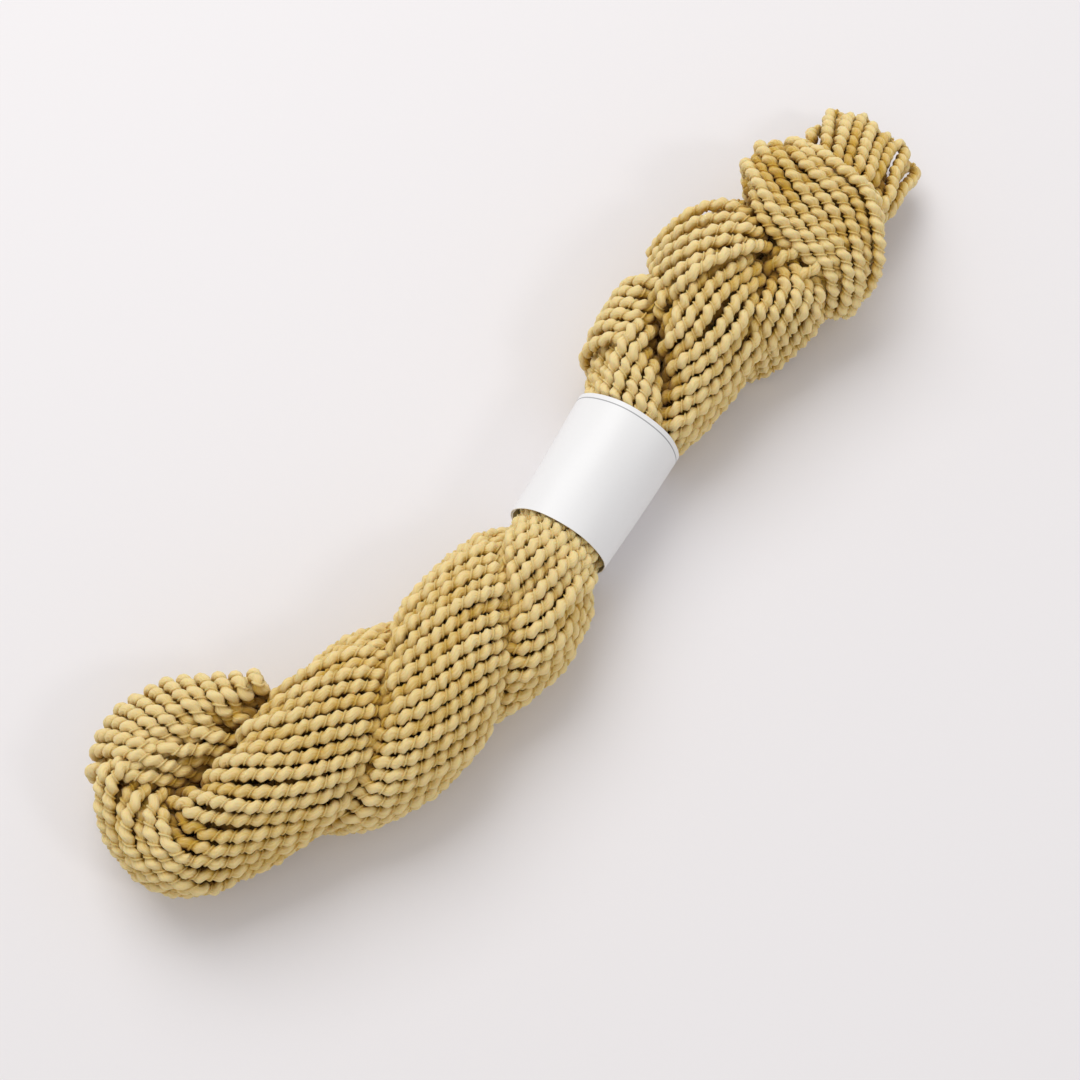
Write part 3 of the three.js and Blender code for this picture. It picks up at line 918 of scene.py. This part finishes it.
def collar_strands(thickness, chance):
    """The eye's strands, drawn round the neck side by side in a ring that swells on top."""
    heading = math.radians(COLLAR["heading"])
    along = np.array([math.cos(heading), math.sin(heading), 0])
    side = np.array([along[1], -along[0], 0])
    turn = np.linspace(-150, 210, 72, endpoint=False)
    around = np.concatenate([COLLAR_RING[-2:] - (360, 0, 0, 0, 0, 0), COLLAR_RING,
                             COLLAR_RING[:2] + (360, 0, 0, 0, 0, 0)])
    _, across, up, shift, half, deep = hermite(around[:, 0], around, turn).T[:, :, None]
    middle = np.array(COLLAR["middle"]) + across * side + up * UP + shift * along
    ahead = np.roll(middle, -1, 0) - np.roll(middle, 1, 0)
    away = unit(np.cross(ahead, along))
    for j in range(COLLAR["count"]):
        place = 2 * math.pi * (j + 0.5) / COLLAR["count"]
        beside, out = math.cos(place), math.sin(place)
        square = (abs(beside) ** COLLAR["square"] + abs(out) ** COLLAR["square"]) ** (
            -1 / COLLAR["square"])
        lump = 0.35 * np.sin(np.radians(turn[:, None]) * 3 + chance.uniform(0, 6.28))
        yield (middle + (deep - thickness / 2 + lump) * square * out * away
               + (half - thickness / 2) * square * beside * along)


def tail_loops():
    """Each loop's tip, base, half gap and lean: those that show, then those under them."""
    for row in TAIL_LOOPS:
        move_x, move_z, half_gap, lean = row[6:]
        base = np.round(seen(row[3:5], row[5]) + (move_x, 0, move_z), 1)
        yield seen(row[0:2], row[2]), base, half_gap, lean
    for row in LOWER_LOOPS:
        yield np.array(row[0:3]), np.array(row[3:6]), *row[6:]


def tail_strands():
    """The loops that stick out past the collar, each a strand out to its tip and back."""
    for tip, base, half_gap, lean in tail_loops():
        root = base + (TAIL_ROOT - base) * (0.55, 0.35, 0.4)
        onward = unit(tip - base)
        beside = unit(np.cross(UP, onward))
        lean = math.radians(lean)
        spread = half_gap * (math.cos(lean) * np.cross(onward, beside) + math.sin(lean) * beside)
        bow = base + (tip - base) * 0.5 + UP * 2.0
        run = [(root, 0.7), (base, 0.85), (bow, 1.0), (tip - onward * 3.6, 1.05),
               (tip - onward * 1.1, 0.8)]
        points = [place + spread * share for place, share in run] + [tip] + [
            place - spread * share for place, share in reversed(run)]
        yield resampled(np.array(points), PATH_STEP)


def band_axes():
    heading = math.radians(BAND["heading"])
    along = np.array([math.cos(heading), math.sin(heading), 0])
    return np.array(BAND["middle"]), along, np.array([along[1], -along[0], 0])


def kept_in_band(length, margin):
    """A function that keeps strands inside the band, and draws them in towards its edges."""
    middle, along, side = band_axes()

    def inside(points):
        place = (points - middle) @ along
        flare = BAND["flare"] * np.clip(place / length + 0.5, 0, 1)
        across = (points - middle) @ side / (BAND["half_width"] + flare - margin)
        upward = (points[:, 2] - middle[2]) / (BAND["half_height"] - margin)
        radius = np.hypot(across, upward) + 1e-9
        past = np.maximum(np.abs(place) - length / 2, 0)
        allowed = 1 + (past / 5) ** 1.5 * 0.2
        shrink = np.where(past < BAND_DRAW, np.minimum(allowed / radius, 1), 1)[:, None]
        centre = middle + place[:, None] * along
        return centre + (points - centre) * shrink

    return inside


def all_strands(yarn, band):
    """Every strand of the hank by layer, settled against each other."""
    chance = np.random.default_rng(11)
    thickness = yarn.strand / MM
    bundle = Bundle(yarn)
    fold = evened(wrap_rows(FOLD_STRANDS, FOLD_HEIGHTS), FOLD_COUNT)
    shoulder = wrap_rows(SHOULDER_STRANDS, SHOULDER_HEIGHTS)
    layers = {
        "outer": list(bundle.strands(yarn.outer, 1.0, thickness, chance)),
        "inner": list(bundle.strands(yarn.inner, INNER["share"], thickness, chance)),
        "core": list(bundle.strands(CORE["count"], CORE["share"], thickness, chance)),
        "collar": [np.concatenate([path, path[:1]]) for path in collar_strands(thickness, chance)],
        "fold_wraps": list(wraps(fold, FOLD_UNDER)),
        "fold_filling": list(wraps((fold[1:] + fold[:-1]) / 2, FOLD_UNDER, FILLING_DEPTH)),
        "shoulder_wraps": list(wraps(shoulder, SHOULDER_UNDER)),
        "neck_wraps": list(tucked(NECK_STRANDS, *NECK_ENDS)),
        "crown_wraps": list(tucked(CROWN_STRANDS, *CROWN_ENDS)),
        "tail": list(tail_strands()),
    }
    names = [name for name, paths in layers.items() for _ in paths]
    paths = [resampled(path, PATH_STEP) for group in layers.values() for path in group]
    gives, girths = np.array([SOFTNESS[name] for name in names]).T
    girths = [np.full(len(path), girth * thickness * GIRTH) for path, girth in zip(paths, girths)]
    for i, name in enumerate(names):
        if name in ("outer", "inner", "core"):
            girths[i] *= 1 - PRESSED_LOSS * bundle.pressed(paths[i])
    paths = settle(paths, gives, girths, kept_in_band(band.length / MM, BAND_MARGIN))
    # How enclosed each point is, for the painted shade.
    paths = with_shade_depth(paths)
    settled = {name: [] for name in layers}
    for name, path in zip(names, paths):
        settled[name].append(path)
    return settled


def strands_of(context):
    """The settled strands, worked out once for a run."""
    if not STRANDS:
        STRANDS.update(all_strands(context.scene.hank_yarn, context.scene.hank_band))
    return STRANDS


def deselect_all():
    for thing in bpy.context.selected_objects:
        thing.select_set(False)


class HANK_OT_legs(bpy.types.Operator):
    """Adds the strands of the two legs and the fold"""
    bl_idname = "hank.legs"
    bl_label = "Legs"

    def execute(self, context):
        yarn = context.scene.hank_yarn
        paths = strands_of(context)["outer"]
        chance = np.random.default_rng(21)
        names = ("leg_yarn_a", "leg_yarn_b", "leg_yarn_c", "leg_yarn_d")
        for share, name in enumerate(names):
            yarn_piece(
                name, paths[share::len(names)], yarn, yarn.step, OUTER_SIDES, chance)
        return {"FINISHED"}


class HANK_OT_inner(bpy.types.Operator):
    """Adds the strands below the outer layer, which show in its gaps"""
    bl_idname = "hank.inner"
    bl_label = "Inner Strands"

    def execute(self, context):
        yarn = context.scene.hank_yarn
        strands = strands_of(context)
        chance = np.random.default_rng(31)
        for layer, values in (("inner", INNER), ("core", CORE)):
            yarn_piece(layer + "_yarn", strands[layer], yarn, values["step"], INNER_SIDES, chance,
                       tone=values["tone"])
        return {"FINISHED"}


class HANK_OT_wraps(bpy.types.Operator):
    """Adds the strands that cross the fold and the shoulder, and those of the small hole"""
    bl_idname = "hank.wraps"
    bl_label = "Wraps"

    def execute(self, context):
        yarn = context.scene.hank_yarn
        strands = strands_of(context)
        chance = np.random.default_rng(41)
        for name in (
                "fold_wraps", "fold_filling", "shoulder_wraps", "neck_wraps", "crown_wraps"):
            yarn_piece(name, strands[name], yarn, yarn.step, OUTER_SIDES, chance)
        return {"FINISHED"}


class HANK_OT_collar(bpy.types.Operator):
    """Adds the eye's strands, drawn round the neck as a collar"""
    bl_idname = "hank.collar"
    bl_label = "Collar"

    def execute(self, context):
        yarn = context.scene.hank_yarn
        paths = [path[:-1] for path in strands_of(context)["collar"]]
        chance = np.random.default_rng(51)
        yarn_piece("collar_yarn", paths, yarn, yarn.step, OUTER_SIDES, chance, closed=True)
        return {"FINISHED"}


class HANK_OT_tail(bpy.types.Operator):
    """Adds the loops that stick out past the collar"""
    bl_idname = "hank.tail"
    bl_label = "Tail"

    def execute(self, context):
        yarn = context.scene.hank_yarn
        paths = strands_of(context)["tail"]
        yarn_piece("tail_yarn", paths, yarn, yarn.step, OUTER_SIDES, np.random.default_rng(61))
        return {"FINISHED"}


class HANK_OT_band(bpy.types.Operator):
    """Adds the paper band, a strip rolled round the waist with its ends lapped"""
    bl_idname = "hank.band"
    bl_label = "Band"

    def execute(self, context):
        band = context.scene.hank_band
        deselect_all()
        bpy.ops.mesh.primitive_grid_add(x_subdivisions=180, y_subdivisions=16, size=1)
        piece = context.active_object
        piece.name = piece.data.name = "paper_band"
        mesh = piece.data
        flat = np.array([v.co[:2] for v in mesh.vertices]) + 0.5
        middle, along, side = band_axes()
        around = 2 * math.pi + band.lap / (BAND["seam_radius"] * MM)
        angle = BAND["seam"] + flat[:, 0] * around
        # The strip spirals outwards by its own thickness where its ends lap.
        lift = 0.15 + smoothstep(flat[:, 0], 0.55, 0.97) * (band.paper / MM + 0.12)
        slack = lift + flat[:, 1] * BAND["flare"]
        dent = 0.12 * np.sin(3 * angle + 5 * flat[:, 1]) + 0.08 * np.sin(7 * angle - 4 * flat[:, 1])
        length = band.length / MM
        places = (
            middle + ((flat[:, 1] - 0.5) * length)[:, None] * along
            + (np.cos(angle) * (BAND["half_width"] + slack + dent))[:, None] * side
            + (np.sin(angle) * (BAND["half_height"] + lift + dent))[:, None] * UP)
        mesh.vertices.foreach_set("co", ((places - ORIGIN) * MM).ravel())
        corners = np.empty(len(mesh.loops), dtype=np.int32)
        mesh.loops.foreach_get("vertex_index", corners)
        sheet = mesh.uv_layers[0] if mesh.uv_layers else mesh.uv_layers.new(name="sheet")
        sheet.name = "sheet"
        sheet.uv.foreach_set("vector", flat[corners].ravel())
        bpy.ops.object.mode_set(mode="EDIT")
        bpy.ops.mesh.select_all(action="SELECT")
        bpy.ops.mesh.normals_make_consistent(inside=False)
        bpy.ops.object.mode_set(mode="OBJECT")
        wall = piece.modifiers.new("paper", "SOLIDIFY")
        wall.thickness = band.paper
        wall.offset = 0
        bpy.ops.object.modifier_apply(modifier="paper")
        bpy.ops.object.shade_smooth_by_angle(angle=math.radians(40))
        mesh.materials.clear()
        mesh.materials.append(paper_material(band))
        finish(piece, "paper", "band")
        return {"FINISHED"}


class HANK_OT_stage(bpy.types.Operator):
    """Adds the floor, the camera and the soft lights"""
    bl_idname = "hank.stage"
    bl_label = "Stage"

    def execute(self, context):
        stage = context.scene.hank_stage
        deselect_all()
        bpy.ops.mesh.primitive_plane_add(size=6.0)
        floor = context.active_object
        floor.name = "floor"
        floor.data.materials.append(floor_material(stage))
        floor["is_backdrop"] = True
        azimuth, elevation = stage.azimuth, stage.elevation
        back = Vector((math.sin(azimuth) * math.cos(elevation),
                       -math.cos(azimuth) * math.cos(elevation), math.sin(elevation)))
        aim = Vector((-ORIGIN * MM).tolist())
        camera = bpy.data.objects.new("camera", bpy.data.cameras.new("camera"))
        camera.location = aim + back * stage.distance
        camera.rotation_euler = back.to_track_quat("Z", "Y").to_euler()
        camera.data.angle = stage.view_angle
        camera.data.clip_end = 20
        context.scene.collection.objects.link(camera)
        context.scene.camera = camera
        for name, place, size, power in LIGHTS:
            lamp = bpy.data.lights.new(name, "AREA")
            lamp.size = size
            lamp.energy = power
            light = bpy.data.objects.new(name, lamp)
            light.location = place
            light.rotation_euler = Vector(place).to_track_quat("Z", "Y").to_euler()
            context.scene.collection.objects.link(light)
        world = bpy.data.worlds.new("room")
        world.use_nodes = True
        sky = world.node_tree.nodes["Background"]
        sky.inputs["Color"].default_value = SKY["colour"]
        sky.inputs["Strength"].default_value = SKY["strength"]
        context.scene.world = world
        context.scene.view_settings.view_transform = "Standard"
        return {"FINISHED"}


class HANK_PT_panel(bpy.types.Panel):
    bl_idname = "HANK_PT_panel"
    bl_label = "Cotton Yarn Hank"
    bl_space_type = "VIEW_3D"
    bl_region_type = "UI"
    bl_category = "Hank"

    def draw(self, context):
        scene = context.scene
        for settings in (scene.hank_yarn, scene.hank_band, scene.hank_stage):
            for name in settings.__annotations__:
                self.layout.prop(settings, name)
        for operator in OPERATORS:
            self.layout.operator(operator.bl_idname)


OPERATORS = (HANK_OT_legs, HANK_OT_inner, HANK_OT_wraps, HANK_OT_collar, HANK_OT_tail,
             HANK_OT_band, HANK_OT_stage)
SETTINGS = (
    ("hank_yarn", HankYarnSettings),
    ("hank_band", HankBandSettings),
    ("hank_stage", HankStageSettings),
)


def register():
    for name, settings in SETTINGS:
        bpy.utils.register_class(settings)
        setattr(bpy.types.Scene, name, PointerProperty(type=settings))
    for cls in (*OPERATORS, HANK_PT_panel):
        bpy.utils.register_class(cls)


def unregister():
    for cls in (HANK_PT_panel, *reversed(OPERATORS)):
        bpy.utils.unregister_class(cls)
    for name, settings in reversed(SETTINGS):
        delattr(bpy.types.Scene, name)
        bpy.utils.unregister_class(settings)


def main():
    register()
    bpy.ops.hank.legs()
    bpy.ops.hank.inner()
    bpy.ops.hank.wraps()
    bpy.ops.hank.collar()
    bpy.ops.hank.tail()
    bpy.ops.hank.band()
    bpy.ops.hank.stage()
    boxes = {"cad": CAD_BOX, "visual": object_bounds()}
    {name: [list(corner) for corner in box] for name, box in boxes.items()}


if __name__ == "__main__":
    main()
